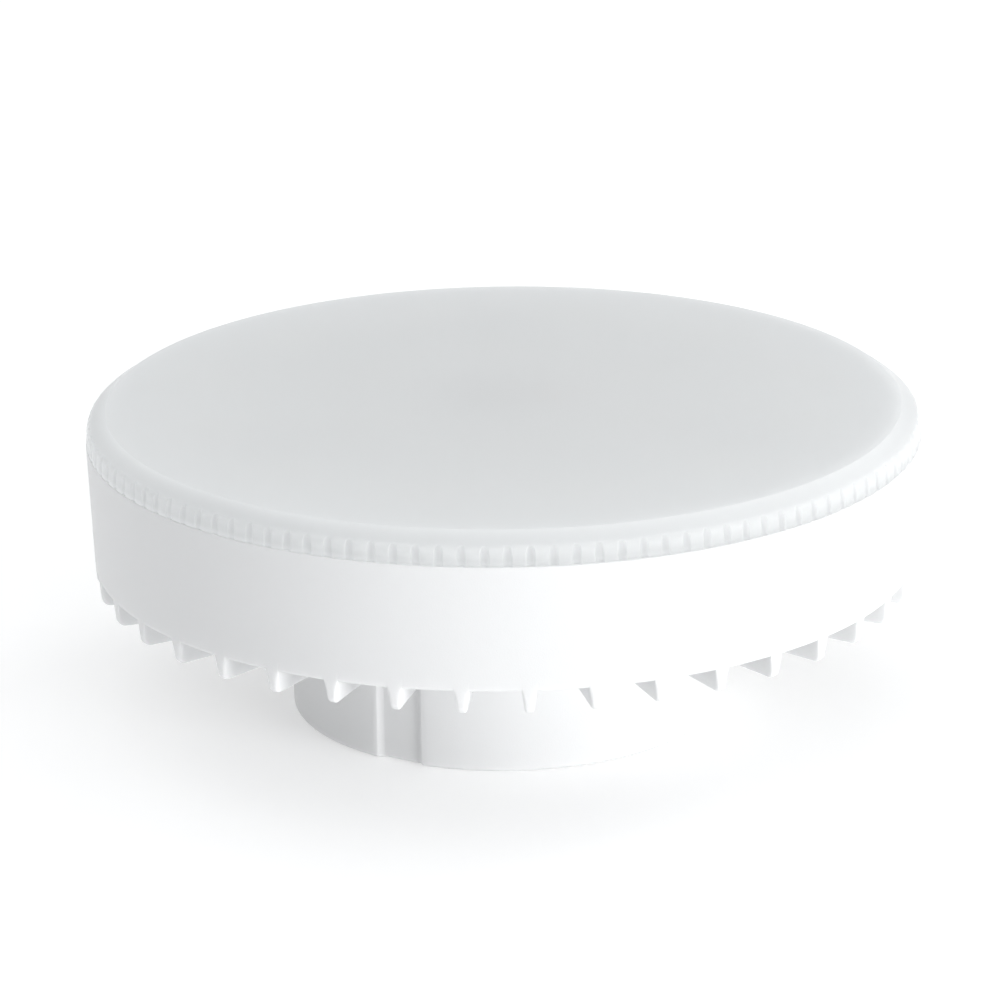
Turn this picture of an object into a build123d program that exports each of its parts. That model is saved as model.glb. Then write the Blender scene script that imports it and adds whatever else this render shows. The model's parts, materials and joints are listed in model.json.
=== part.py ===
"""Led disc lamp for a GX53 holder: a finned white housing, an opal diffuser and the parts inside.

Millimetres, +Z up. The origin is the centre of the hub's foot, on which the lamp stands.
The front of the lamp faces -Y, and the two contact pins lie on the X axis.
"""
import os
from math import cos, radians, sin, sqrt, tan

from build123d import *

# Housing: the drafted outer wall, its rim and the base plate.
lamp_diameter = 75.0
seam_height = 25.5
skirt_height = 14.1
wall_draft = 2.5
wall_thickness = 1.6
base_thickness = 1.6
rim_land = 0.5
rim_edge_radius = 0.2
skirt_edge_radius = 0.3

# Hub: the cup below the base plate, which holds the power supply.
hub_diameter = 38.8
hub_wall = 1.5
hub_floor = 1.6
hub_edge_radius = 0.5
keyway_width = 4.6
keyway_depth = 0.5
keyway_angle = -119.9
keyway_count = 2

# Fins: radial blades below the base plate, thinner towards their tips.
fin_count = 40
fin_angle = -87.0
fin_drop = 2.15
fin_length = 6.4
fin_root_thickness = 1.3
fin_tip_thickness = 0.75
fin_corner_radius = 0.8
fin_end_slope = 0.8
fin_inset = 0.03
fin_overlap = 0.8

# Diffuser: the opal cover with its plain band, rounded edge, grip flutes and snap skirt.
# The rounding turns from upright by less than a quarter, so that it meets the face in a crease.
diffuser_thickness = 1.6
diffuser_inset = 0.2
diffuser_band = 1.0
diffuser_edge_radius = 2.0
diffuser_edge_turn = 70.0
diffuser_dome = 0.7
diffuser_inner_radius = 1.0
grip_flute_count = 120
grip_flute_angle = -89.7
grip_flute_radius = 0.9
grip_flute_depth = 0.42
grip_notch_width = 1.2
foot_gap = 0.03
reveal_gap = 0.15
reveal_width = 0.45
snap_skirt_thickness = 1.4
snap_skirt_depth = 2.2
snap_skirt_clearance = 0.15
snap_bead = 0.3
snap_clearance = 0.08

# Contact pins and their ring tags.
pin_spacing = 53.0
pin_projection = 7.0
pin_head_diameter = 5.2
pin_head_thickness = 2.2
pin_head_edge = 0.5
pin_shank_diameter = 3.0
pin_collar_diameter = 6.4
pin_collar_thickness = 0.8
pin_clearance = 0.05
rivet_diameter = 4.6
rivet_height = 0.8
tag_thickness = 0.5
tag_diameter = 6.8
tag_barrel_length = 3.0
tag_barrel_wall = 0.35
tag_barrel_offset = 4.4

# Heat spreader, light board and the screws that hold them.
spreader_thickness = 1.2
spreader_clearance = 0.2
spreader_bend = 1.8
lead_hole_diameter = 10.0
light_board_margin = 1.35
light_board_thickness = 1.0
light_board_gap = 0.3
screw_inset = 8.0
screw_count = 3
screw_angle = 90.0
screw_shank_diameter = 2.8
screw_head_diameter = 5.6
screw_head_height = 1.9
screw_bite = 4.0
screw_clearance = 0.2
pilot_clearance = 0.05
pilot_spare_depth = 0.6
boss_diameter = 6.0
screw_slot_width = 0.7
screw_slot_length = 3.2
screw_slot_depth = 1.0

# Light emitters: each ring has its inset from the board's edge, its count and first angle.
emitter_rings = ((6.0, 12, 15.0), (19.0, 6, 30.0))
emitter_length = 3.5
emitter_width = 2.8
emitter_height = 0.7
emitter_pocket_diameter = 2.3
emitter_pocket_depth = 0.15
emitter_mark = 0.5

# Driver board in the hub, on four rests.
driver_board_height = 5.0
driver_board_clearance = 0.6
driver_board_thickness = 1.6
rest_count = 4
rest_width = 2.4
rest_reach = 1.9
component_lead_diameter = 0.6
component_lead_tail = 1.2
component_hole_clearance = 0.15

# Components of the power supply: places on the driver board and sizes.
bulk_place = (-6.6, 6.2)
bulk_diameter = 8.0
bulk_height = 11.5
bulk_edge = 0.6
bulk_groove = 0.3
bulk_pitch = 3.5
film_place = (4.5, -8.0)
film_length = 9.0
film_width = 4.0
film_height = 8.0
film_edge = 0.5
film_pitch = 7.5
coil_place = (7.6, 4.6)
coil_diameter = 9.0
coil_height = 9.0
coil_flange = 1.2
coil_core_diameter = 4.5
coil_winding_diameter = 8.0
coil_pitch = 5.0
coil_clearance = 0.03
bridge_place = (-7.5, -2.2)
bridge_size = (4.7, 3.9, 2.4)
bridge_leg_spread = 2.54
chip_place = (0.3, 10.6)
chip_size = (4.9, 3.9, 1.5)
chip_leg_spread = 1.27
diode_place = (4.6, -3.6)
diode_size = (4.3, 2.6, 2.1)
sense_places = ((-1.9, -3.2), (-1.9, -5.3))
sense_size = (3.2, 1.6, 0.6)
fuse_place = (-5.0, -8.2)
fuse_diameter = 2.8
fuse_length = 6.5
fuse_waist_diameter = 2.3
fuse_cap_length = 1.3
fuse_pitch = 8.0
fuse_lead_bend = 0.5
leg_width = 0.4
leg_thickness = 0.2
leg_reach = 1.0

# Leads.
lead_diameter = 1.3
lead_bend = 3.0
input_lead_inset = 2.6
output_lead_spread = 3.2
output_lead_reach = 6.5
output_lead_rise = 1.6
output_lead_bend = 1.2

# Sizes that follow from the ones above.
lamp_radius = lamp_diameter / 2
hub_radius = hub_diameter / 2
hub_inner_radius = hub_radius - hub_wall
driver_board_radius = hub_inner_radius - driver_board_clearance
base_top = skirt_height + base_thickness
tip_height = skirt_height - fin_drop
rim_inner_radius = lamp_radius - wall_thickness
board_top = driver_board_height + driver_board_thickness
cover_radius = lamp_radius - diffuser_inset
flute_floor_radius = cover_radius - grip_flute_depth
cover_foot = seam_height + foot_gap
edge_turn = radians(diffuser_edge_turn)
shoulder = seam_height + diffuser_band
diffuser_rim = shoulder + diffuser_edge_radius * sin(edge_turn)
snap_skirt_radius = rim_inner_radius - snap_skirt_clearance
snap_skirt_inner = snap_skirt_radius - snap_skirt_thickness
snap_skirt_foot = seam_height - snap_skirt_depth
light_board_top = snap_skirt_foot - light_board_gap
light_board_radius = snap_skirt_inner - light_board_margin
spreader_top = light_board_top - light_board_thickness
spreader_underside = spreader_top - spreader_thickness
boss_height = spreader_underside - base_top
screw_radius = light_board_radius - screw_inset
snap_bead_height = snap_skirt_foot + snap_bead + snap_skirt_depth / 4
pin_radius = pin_spacing / 2
rivet_seat = base_top + tag_thickness


def wall_radius(height):
    """Outer radius of the drafted wall at a height, carried on down the fins."""
    return lamp_radius - (seam_height - rim_land - height) * tan(radians(wall_draft))


def dome_height(radius, edge_radius, rise):
    """Height of a shallow dome above its edge, at a distance from its axis."""
    sphere = (edge_radius ** 2 + rise ** 2) / (2 * rise)
    return sqrt(sphere ** 2 - radius ** 2) - (sphere - rise)


def round_corner(section, corner, radius):
    """Round the corner of a section sketch that lies at a given radius and height."""
    fillet(section.vertices().sort_by_distance(corner)[0], radius)


def export(name, piece):
    """Label a finished piece and write it under its own name."""
    piece.label = name
    export_step(piece, f"parts/{name}.step")


os.makedirs("parts", exist_ok=True)

# One fin: a blade with drafted sides, whose outer face carries the wall's draft on down.
fin_inner_radius = wall_radius(skirt_height) - fin_length
fin_root_height = skirt_height + fin_overlap
fin_root_outer = wall_radius(fin_root_height) - fin_inset
fin_tip_outer = wall_radius(tip_height) - fin_inset
fin_tip_inner = fin_inner_radius + fin_end_slope
fin_side_slope = (fin_root_thickness - fin_tip_thickness) / 2 / fin_drop
fin_buried_thickness = fin_root_thickness + 2 * fin_side_slope * fin_overlap
with BuildPart() as fin:
    with BuildSketch(Plane.XY.offset(tip_height)):
        with Locations(((fin_tip_outer + fin_tip_inner) / 2, 0)):
            Rectangle(fin_tip_outer - fin_tip_inner, fin_tip_thickness)
    with BuildSketch(Plane.XY.offset(fin_root_height)):
        with Locations(((fin_root_outer + fin_inner_radius) / 2, 0)):
            Rectangle(fin_root_outer - fin_inner_radius, fin_buried_thickness)
    loft()
    foot_edges = fin.edges().group_by(Axis.Z)[0].filter_by(Axis.Y)
    fillet(foot_edges.sort_by(Axis.X)[-1], fin_corner_radius)

# Housing: the turned section first, then what stands on it and what is cut into it.
with BuildPart() as housing:
    with BuildSketch(Plane.XZ) as housing_section:
        with BuildLine():
            groove_depth = snap_bead + snap_clearance
            Polyline(
                (0, 0),
                (hub_radius, 0),
                (hub_radius, skirt_height),
                (wall_radius(skirt_height), skirt_height),
                (lamp_radius, seam_height - rim_land),
                (lamp_radius, seam_height),
                (rim_inner_radius, seam_height),
                (rim_inner_radius, snap_bead_height + groove_depth),
                (rim_inner_radius + groove_depth, snap_bead_height),
                (rim_inner_radius, snap_bead_height - groove_depth),
                (rim_inner_radius, spreader_top),
                (wall_radius(base_top) - wall_thickness, base_top),
                (hub_inner_radius, base_top),
                (hub_inner_radius, hub_floor),
                (0, hub_floor),
                close=True,
            )
        make_face()
        round_corner(housing_section, (hub_radius, 0), hub_edge_radius)
        round_corner(housing_section, (lamp_radius, seam_height), rim_edge_radius)
        skirt_corner = (wall_radius(skirt_height), skirt_height)
        round_corner(housing_section, skirt_corner, skirt_edge_radius)
    revolve(axis=Axis.Z)
    with PolarLocations(0, fin_count, start_angle=fin_angle):
        add(fin.part)
    with BuildSketch(Plane.XY.offset(base_top)):
        with PolarLocations(screw_radius, screw_count, start_angle=screw_angle):
            Circle(boss_diameter / 2)
    extrude(amount=boss_height)
    with BuildSketch(Plane.XY.offset(hub_floor)):
        rest_depth = rest_reach + hub_wall / 2
        with PolarLocations(hub_inner_radius - rest_reach, rest_count, start_angle=45):
            Rectangle(rest_depth, rest_width, align=(Align.MIN, Align.CENTER))
    extrude(amount=driver_board_height - hub_floor)
    with BuildSketch(Plane.XY.offset(spreader_underside)):
        with PolarLocations(screw_radius, screw_count, start_angle=screw_angle):
            Circle(screw_shank_diameter / 2 + pilot_clearance)
    extrude(amount=-(screw_bite + pilot_spare_depth), mode=Mode.SUBTRACT)
    with BuildSketch(Plane.XY.offset(skirt_height)):
        with PolarLocations(pin_radius, 2):
            Circle(pin_shank_diameter / 2 + pin_clearance)
    extrude(amount=base_thickness, mode=Mode.SUBTRACT)
    with BuildSketch(Plane.XY):
        with PolarLocations(hub_radius, keyway_count, start_angle=keyway_angle):
            Polygon(
                (-keyway_depth, -keyway_width / 2 + keyway_depth),
                (keyway_depth, -keyway_width / 2 - keyway_depth),
                (keyway_depth, keyway_width / 2 + keyway_depth),
                (-keyway_depth, keyway_width / 2 - keyway_depth),
                align=None,
            )
    extrude(amount=skirt_height, mode=Mode.SUBTRACT)
export("housing", housing.part)

# Diffuser: a turned cover with a shallow dome, seated on the rim. Upright flutes are cut into its
# band and run out in the rounding, and each has a notch at its foot that shows as a dark dash.
with BuildPart() as diffuser:
    with BuildSketch(Plane.XZ) as diffuser_section:
        with BuildLine():
            edge_centre = cover_radius - diffuser_edge_radius
            face_radius = edge_centre + diffuser_edge_radius * cos(edge_turn)
            under_rim = diffuser_rim - diffuser_thickness
            under_radius = snap_skirt_inner - diffuser_inner_radius
            seat_radius = flute_floor_radius - reveal_width
            face_middle = dome_height(face_radius / 2, face_radius, diffuser_dome)
            under_middle = dome_height(under_radius / 2, under_radius, diffuser_dome)
            corner_middle = diffuser_inner_radius * sin(radians(45))
            bead_top = snap_bead_height + snap_bead
            bead_bottom = snap_bead_height - snap_bead
            Polyline(
                (snap_skirt_inner, under_rim - diffuser_inner_radius),
                (snap_skirt_inner, snap_skirt_foot),
                (snap_skirt_radius, snap_skirt_foot),
                (snap_skirt_radius, bead_bottom),
                (snap_skirt_radius + snap_bead, snap_bead_height),
                (snap_skirt_radius, bead_top),
                (snap_skirt_radius, seam_height),
                (seat_radius, seam_height),
                (seat_radius, cover_foot),
                (cover_radius, cover_foot),
                (cover_radius, shoulder),
            )
            ThreePointArc(
                (cover_radius, shoulder),
                (
                    edge_centre + diffuser_edge_radius * cos(edge_turn / 2),
                    shoulder + diffuser_edge_radius * sin(edge_turn / 2),
                ),
                (face_radius, diffuser_rim),
            )
            ThreePointArc(
                (face_radius, diffuser_rim),
                (face_radius / 2, diffuser_rim + face_middle),
                (0, diffuser_rim + diffuser_dome),
            )
            Line((0, diffuser_rim + diffuser_dome), (0, under_rim + diffuser_dome))
            ThreePointArc(
                (0, under_rim + diffuser_dome),
                (under_radius / 2, under_rim + under_middle),
                (under_radius, under_rim),
            )
            ThreePointArc(
                (under_radius, under_rim),
                (under_radius + corner_middle, under_rim - diffuser_inner_radius + corner_middle),
                (snap_skirt_inner, under_rim - diffuser_inner_radius),
            )
        make_face()
    revolve(axis=Axis.Z)
    with BuildSketch(Plane.XY.offset(seam_height)):
        flute_centre = flute_floor_radius + grip_flute_radius
        with PolarLocations(flute_centre, grip_flute_count, start_angle=grip_flute_angle):
            Circle(grip_flute_radius)
    extrude(amount=diffuser_rim - seam_height, mode=Mode.SUBTRACT)
    with BuildSketch(Plane.XY.offset(seam_height)):
        with PolarLocations(seat_radius, grip_flute_count, start_angle=grip_flute_angle):
            Rectangle(
                lamp_radius - seat_radius,
                grip_notch_width,
                align=(Align.MIN, Align.CENTER),
            )
    extrude(amount=reveal_gap, mode=Mode.SUBTRACT)
export("diffuser", diffuser.part)

# Contact pin: turned mushroom head, neck, collar under the base and a riveted end above the tag.
with BuildPart() as contact_pin:
    with BuildSketch(Plane.XZ) as pin_section:
        with BuildLine():
            shank_radius = pin_shank_diameter / 2
            head_radius = pin_head_diameter / 2
            head_foot = skirt_height - pin_projection
            head_top = head_foot + pin_head_thickness
            collar_foot = skirt_height - pin_collar_thickness
            Polyline(
                (0, rivet_seat + rivet_height),
                (0, head_foot),
                (head_radius - pin_head_edge, head_foot),
                (head_radius, head_foot + pin_head_edge),
                (head_radius, head_top),
                (shank_radius, head_top),
                (shank_radius, collar_foot),
                (pin_collar_diameter / 2, collar_foot),
                (pin_collar_diameter / 2, skirt_height),
                (shank_radius, skirt_height),
                (shank_radius, rivet_seat),
                (rivet_diameter / 2, rivet_seat),
            )
            rivet_radius = rivet_diameter / 2
            rivet_middle = dome_height(rivet_radius / 2, rivet_radius, rivet_height)
            ThreePointArc(
                (rivet_radius, rivet_seat),
                (rivet_radius / 2, rivet_seat + rivet_middle),
                (0, rivet_seat + rivet_height),
            )
        make_face()
    revolve(axis=Axis.Z)

# Ring tag: a flat ring round the pin with a barrel that holds the lead.
barrel_bore = lead_diameter / 2 + pin_clearance
barrel_radius = barrel_bore + tag_barrel_wall
barrel_height = rivet_seat - tag_thickness + barrel_radius
with BuildPart() as pin_terminal:
    with BuildSketch(Plane.XY.offset(base_top)):
        Circle(tag_diameter / 2)
        with Locations((tag_barrel_offset / 2, 0)):
            Rectangle(tag_barrel_offset, barrel_radius)
        Circle(pin_shank_diameter / 2 + pin_clearance, mode=Mode.SUBTRACT)
    extrude(amount=tag_thickness)
    with BuildSketch(Plane.YZ.offset(tag_barrel_offset - tag_barrel_length / 4)):
        with Locations((0, barrel_height)):
            Circle(barrel_radius)
    extrude(amount=tag_barrel_length)
    with BuildSketch(Plane.YZ.offset(tag_barrel_offset)):
        with Locations((0, barrel_height)):
            Circle(barrel_bore)
    extrude(amount=tag_barrel_length, mode=Mode.SUBTRACT)

# Input lead: from the tag's barrel over the edge of the hub and down to the driver board.
lead_start = pin_radius - tag_barrel_offset
lead_foot_radius = driver_board_radius - input_lead_inset
with BuildPart() as input_lead:
    with BuildLine():
        input_route = FilletPolyline(
            (lead_start, 0, barrel_height),
            (lead_foot_radius, 0, barrel_height),
            (lead_foot_radius, 0, board_top),
            radius=lead_bend,
        )
    with BuildSketch(Plane(origin=input_route @ 0, z_dir=input_route % 0)):
        Circle(lead_diameter / 2)
    sweep()

for side, turn in (("left", 180), ("right", 0)):
    pin_side = Location((0, 0, 0), (0, 0, turn))
    pin_place = pin_side * Location((pin_radius, 0, 0), (0, 0, 180))
    export(f"contact_pin_{side}", contact_pin.part.moved(pin_place))
    export(f"pin_terminal_{side}", pin_terminal.part.moved(pin_place))
    export(f"input_lead_{side}", input_lead.part.moved(pin_side))

# Heat spreader: a pressed pan that stands on the base plate inside the wall.
spreader_radius = wall_radius(base_top) - wall_thickness - spreader_clearance
with BuildPart() as heat_spreader:
    with BuildSketch(Plane.XZ) as spreader_section:
        with BuildLine():
            Polyline(
                (lead_hole_diameter / 2, spreader_top),
                (spreader_radius, spreader_top),
                (spreader_radius, base_top),
                (spreader_radius - spreader_thickness, base_top),
                (spreader_radius - spreader_thickness, spreader_underside),
                (lead_hole_diameter / 2, spreader_underside),
                close=True,
            )
        make_face()
        inner_bend = (spreader_radius - spreader_thickness, spreader_underside)
        round_corner(spreader_section, (spreader_radius, spreader_top), spreader_bend)
        round_corner(spreader_section, inner_bend, spreader_bend - spreader_thickness)
    revolve(axis=Axis.Z)
    with BuildSketch(Plane.XY.offset(spreader_underside)):
        with PolarLocations(screw_radius, screw_count, start_angle=screw_angle):
            Circle(screw_shank_diameter / 2 + screw_clearance)
    extrude(amount=spreader_thickness, mode=Mode.SUBTRACT)
export("heat_spreader", heat_spreader.part)

# Light board: an aluminium-core disc with the same holes.
with BuildPart() as led_board:
    with BuildSketch(Plane.XY.offset(spreader_top)):
        Circle(light_board_radius)
        Circle(lead_hole_diameter / 2, mode=Mode.SUBTRACT)
        with PolarLocations(screw_radius, screw_count, start_angle=screw_angle):
            Circle(screw_shank_diameter / 2 + screw_clearance, mode=Mode.SUBTRACT)
    extrude(amount=light_board_thickness)
export("led_board", led_board.part)

# One light emitter: a small moulded package with a round pocket and a cut corner.
with BuildPart() as emitter:
    with BuildSketch(Plane.XY.offset(light_board_top)):
        Rectangle(emitter_length, emitter_width)
    extrude(amount=emitter_height)
    upright_edges = emitter.edges().filter_by(Axis.Z)
    chamfer(upright_edges.group_by(Axis.X)[-1].sort_by(Axis.Y)[-1], emitter_mark)
    with BuildSketch(Plane.XY.offset(light_board_top + emitter_height)):
        Circle(emitter_pocket_diameter / 2)
    extrude(amount=-emitter_pocket_depth, mode=Mode.SUBTRACT)

emitter_places = []
for ring_inset, ring_count, ring_angle in emitter_rings:
    ring_radius = light_board_radius - ring_inset
    ring = PolarLocations(ring_radius, ring_count, start_angle=ring_angle)
    emitter_places.extend(ring.local_locations)
for number, place in enumerate(emitter_places, start=1):
    export(f"led_{number:02d}", emitter.part.moved(place))

# Board screws: pan heads with a cross slot, through the light board and spreader into the bosses.
screw_length = light_board_thickness + spreader_thickness + screw_bite
head_top_radius = screw_head_diameter / 2 - screw_head_height / 3
with BuildPart() as screw:
    with BuildSketch(Plane.XZ):
        with BuildLine():
            Polyline(
                (0, light_board_top - screw_length),
                (screw_shank_diameter / 2, light_board_top - screw_length),
                (screw_shank_diameter / 2, light_board_top),
                (screw_head_diameter / 2, light_board_top),
                (screw_head_diameter / 2, light_board_top + screw_head_height / 2),
                (head_top_radius, light_board_top + screw_head_height),
                (0, light_board_top + screw_head_height),
                close=True,
            )
        make_face()
    revolve(axis=Axis.Z)
    with BuildSketch(Plane.XY.offset(light_board_top + screw_head_height)):
        Rectangle(screw_slot_length, screw_slot_width)
        Rectangle(screw_slot_width, screw_slot_length)
    extrude(amount=-screw_slot_depth, mode=Mode.SUBTRACT)
screw_places = PolarLocations(screw_radius, screw_count, start_angle=screw_angle)
screws = [screw.part.moved(place) for place in screw_places.local_locations]
export("board_screws", Compound(children=screws))

# Driver board: a round board whose holes take the leads of the tall components.
lead_hole_radius = component_lead_diameter / 2 + component_hole_clearance
lead_pairs = (
    (bulk_place, bulk_pitch),
    (film_place, film_pitch),
    (coil_place, coil_pitch),
    (fuse_place, fuse_pitch),
)
with BuildPart() as driver_board:
    with BuildSketch(Plane.XY.offset(driver_board_height)):
        Circle(driver_board_radius)
        for place, pitch in lead_pairs:
            with Locations((place[0] - pitch / 2, place[1]), (place[0] + pitch / 2, place[1])):
                Circle(lead_hole_radius, mode=Mode.SUBTRACT)
    extrude(amount=driver_board_thickness)
export("driver_board", driver_board.part)


def lead_pair(pitch, top):
    """Two straight component leads, from a height down through the driver board."""
    foot = driver_board_height - component_lead_tail
    with BuildPart() as pair:
        with BuildSketch(Plane.XY.offset(foot)):
            with Locations((-pitch / 2, 0), (pitch / 2, 0)):
                Circle(component_lead_diameter / 2)
        extrude(amount=top - foot)
    return pair.part


# Bulk capacitor: an upright can with a rolled groove above its seal.
with BuildPart() as bulk_capacitor:
    with BuildSketch(Plane.XZ) as can_section:
        with BuildLine():
            can_radius = bulk_diameter / 2
            Polyline(
                (0, board_top),
                (can_radius, board_top),
                (can_radius, board_top + bulk_groove * 4),
                (can_radius - bulk_groove, board_top + bulk_groove * 5),
                (can_radius, board_top + bulk_groove * 6),
                (can_radius, board_top + bulk_height),
                (0, board_top + bulk_height),
                close=True,
            )
        make_face()
        round_corner(can_section, (can_radius, board_top + bulk_height), bulk_edge)
    revolve(axis=Axis.Z)
    add(lead_pair(bulk_pitch, board_top + bulk_groove))
export("bulk_capacitor", bulk_capacitor.part.moved(Location((*bulk_place, 0))))

# Film capacitor: a moulded box with rounded upright edges.
with BuildPart() as film_capacitor:
    with BuildSketch(Plane.XY.offset(board_top)):
        RectangleRounded(film_length, film_width, film_edge)
    extrude(amount=film_height)
    chamfer(film_capacitor.faces().sort_by(Axis.Z)[-1].edges(), film_edge / 2)
    add(lead_pair(film_pitch, board_top + film_edge))
export("film_capacitor", film_capacitor.part.moved(Location((*film_place, 0))))

# Inductor: a ferrite drum and the copper wound on it.
coil_top = board_top + coil_height
with BuildPart() as inductor_core:
    with BuildSketch(Plane.XZ):
        with BuildLine():
            Polyline(
                (0, board_top),
                (coil_diameter / 2, board_top),
                (coil_diameter / 2, board_top + coil_flange),
                (coil_core_diameter / 2, board_top + coil_flange),
                (coil_core_diameter / 2, coil_top - coil_flange),
                (coil_diameter / 2, coil_top - coil_flange),
                (coil_diameter / 2, coil_top),
                (0, coil_top),
                close=True,
            )
        make_face()
    revolve(axis=Axis.Z)
    add(lead_pair(coil_pitch, board_top + coil_flange / 2))
export("inductor_core", inductor_core.part.moved(Location((*coil_place, 0))))

with BuildPart() as inductor_winding:
    with BuildSketch(Plane.XY.offset(board_top + coil_flange + coil_clearance)):
        Circle(coil_winding_diameter / 2)
        Circle(coil_core_diameter / 2 + coil_clearance, mode=Mode.SUBTRACT)
    extrude(amount=coil_height - 2 * coil_flange - 2 * coil_clearance)
export("inductor_winding", inductor_winding.part.moved(Location((*coil_place, 0))))

# Fusible resistor: a lying body with thicker caps, on one lead bent down through the board.
fuse_height = board_top + fuse_diameter / 2
with BuildPart() as fusible_resistor:
    with BuildLine():
        fuse_route = FilletPolyline(
            (-fuse_pitch / 2, 0, driver_board_height - component_lead_tail),
            (-fuse_pitch / 2, 0, fuse_height),
            (fuse_pitch / 2, 0, fuse_height),
            (fuse_pitch / 2, 0, driver_board_height - component_lead_tail),
            radius=fuse_lead_bend,
        )
    with BuildSketch(Plane(origin=fuse_route @ 0, z_dir=fuse_route % 0)):
        Circle(component_lead_diameter / 2)
    sweep()
    with BuildSketch(Plane.XZ):
        with BuildLine():
            waist_end = fuse_length / 2 - fuse_cap_length
            cap_crest = fuse_height + fuse_diameter / 2
            waist_crest = fuse_height + fuse_waist_diameter / 2
            Polyline(
                (-fuse_length / 2, fuse_height),
                (-fuse_length / 2, cap_crest),
                (-waist_end, cap_crest),
                (-waist_end, waist_crest),
                (waist_end, waist_crest),
                (waist_end, cap_crest),
                (fuse_length / 2, cap_crest),
                (fuse_length / 2, fuse_height),
                close=True,
            )
        make_face()
    revolve(axis=Axis((0, 0, fuse_height), (1, 0, 0)))
export("fusible_resistor", fusible_resistor.part.moved(Location((*fuse_place, 0))))


def flat_package(size, leg_rows, leg_spread):
    """A moulded package with bevelled sides, on rows of flat legs that reach out along Y."""
    length, width, height = size
    bevel = height / 6
    with BuildPart() as package:
        with BuildSketch(Plane.XY.offset(board_top + leg_thickness)):
            Rectangle(length, width)
        extrude(amount=height - leg_thickness)
        chamfer(package.faces().sort_by(Axis.Z)[-1].edges(), bevel)
        with BuildSketch(Plane.XY.offset(board_top)):
            with GridLocations(leg_spread, 1, leg_rows, 1):
                Rectangle(leg_width, width + 2 * leg_reach)
        extrude(amount=leg_thickness)
    return package.part


bridge_rectifier = flat_package(bridge_size, 2, bridge_leg_spread)
export("bridge_rectifier", bridge_rectifier.moved(Location((*bridge_place, 0))))
driver_chip = flat_package(chip_size, 4, chip_leg_spread)
export("driver_chip", driver_chip.moved(Location((*chip_place, 0))))

# Output diode: the same kind of package with one broad leg at each end.
with BuildPart() as output_diode:
    diode_length, diode_width, diode_body_height = diode_size
    with BuildSketch(Plane.XY.offset(board_top + leg_thickness)):
        Rectangle(diode_length, diode_width)
    extrude(amount=diode_body_height - leg_thickness)
    chamfer(output_diode.faces().sort_by(Axis.Z)[-1].edges(), leg_width / 2)
    with BuildSketch(Plane.XY.offset(board_top)):
        Rectangle(diode_length + leg_reach, diode_width / 2)
    extrude(amount=leg_thickness)
export("output_diode", output_diode.part.moved(Location((*diode_place, 0))))

# Sense resistors: two chips with raised end caps.
with BuildPart() as sense_resistor:
    chip_length, chip_width, chip_height = sense_size
    with BuildSketch(Plane.XY.offset(board_top)):
        Rectangle(chip_length - 2 * leg_width, chip_width)
    extrude(amount=chip_height - leg_thickness / 2)
    with BuildSketch(Plane.XY.offset(board_top)):
        with GridLocations(chip_length - leg_width, 1, 2, 1):
            Rectangle(leg_width, chip_width)
    extrude(amount=chip_height)
for number, place in enumerate(sense_places, start=1):
    export(f"sense_resistor_{number}", sense_resistor.part.moved(Location((*place, 0))))

# Output leads: from the driver board up through the middle hole and down onto the light board.
lead_x = output_lead_spread / 2
lead_crown = light_board_top + output_lead_rise
with BuildPart() as output_lead:
    with BuildLine():
        output_route = FilletPolyline(
            (lead_x, 0, board_top),
            (lead_x, 0, lead_crown),
            (output_lead_reach, 0, lead_crown),
            (output_lead_reach, 0, light_board_top),
            radius=output_lead_bend,
        )
    with BuildSketch(Plane(origin=output_route @ 0, z_dir=output_route % 0)):
        Circle(lead_diameter / 2)
    sweep()
export("output_lead_positive", output_lead.part)
export("output_lead_negative", output_lead.part.rotate(Axis.Z, 180))
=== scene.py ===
# %% [markdown]
# # A led disc lamp on a white table
#
# The real lamp is a flat white drum: a moulded housing with forty cooling fins below it, a round hub
# under that, and an opal cover snapped on top. The construction is already there as solid parts at
# their real size. This lesson dresses them: it takes the outer mouldings again as fine meshes with
# the small roundings that catch the light, gives every part a finish made from nodes, and sets up
# the table, the lamps of the studio and the camera.

# %% Load the lamp's solid parts
import bmesh
import bpy
import json
import math
from mathutils import Matrix, Vector


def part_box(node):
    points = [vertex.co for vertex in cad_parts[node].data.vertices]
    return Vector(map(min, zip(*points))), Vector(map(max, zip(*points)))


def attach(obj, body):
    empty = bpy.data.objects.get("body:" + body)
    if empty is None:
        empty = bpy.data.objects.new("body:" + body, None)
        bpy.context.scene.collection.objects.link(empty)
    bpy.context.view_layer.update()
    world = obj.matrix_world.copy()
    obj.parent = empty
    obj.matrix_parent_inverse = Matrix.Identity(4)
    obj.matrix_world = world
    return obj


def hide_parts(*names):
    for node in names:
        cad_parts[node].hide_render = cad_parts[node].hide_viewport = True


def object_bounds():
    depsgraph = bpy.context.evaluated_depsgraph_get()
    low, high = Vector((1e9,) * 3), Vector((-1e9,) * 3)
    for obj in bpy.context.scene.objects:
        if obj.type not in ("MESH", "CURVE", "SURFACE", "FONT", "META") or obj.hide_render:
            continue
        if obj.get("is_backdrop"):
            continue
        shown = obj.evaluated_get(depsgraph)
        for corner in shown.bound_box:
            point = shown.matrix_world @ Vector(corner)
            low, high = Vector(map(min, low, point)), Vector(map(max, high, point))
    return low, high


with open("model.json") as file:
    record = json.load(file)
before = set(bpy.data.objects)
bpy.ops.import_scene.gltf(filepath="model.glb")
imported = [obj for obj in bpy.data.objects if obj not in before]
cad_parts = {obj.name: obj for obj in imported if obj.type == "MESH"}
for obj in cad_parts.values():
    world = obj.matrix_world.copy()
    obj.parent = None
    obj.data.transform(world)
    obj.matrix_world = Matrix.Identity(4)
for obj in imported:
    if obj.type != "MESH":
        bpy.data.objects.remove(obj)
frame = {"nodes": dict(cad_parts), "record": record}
cad_low, cad_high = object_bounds()
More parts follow.
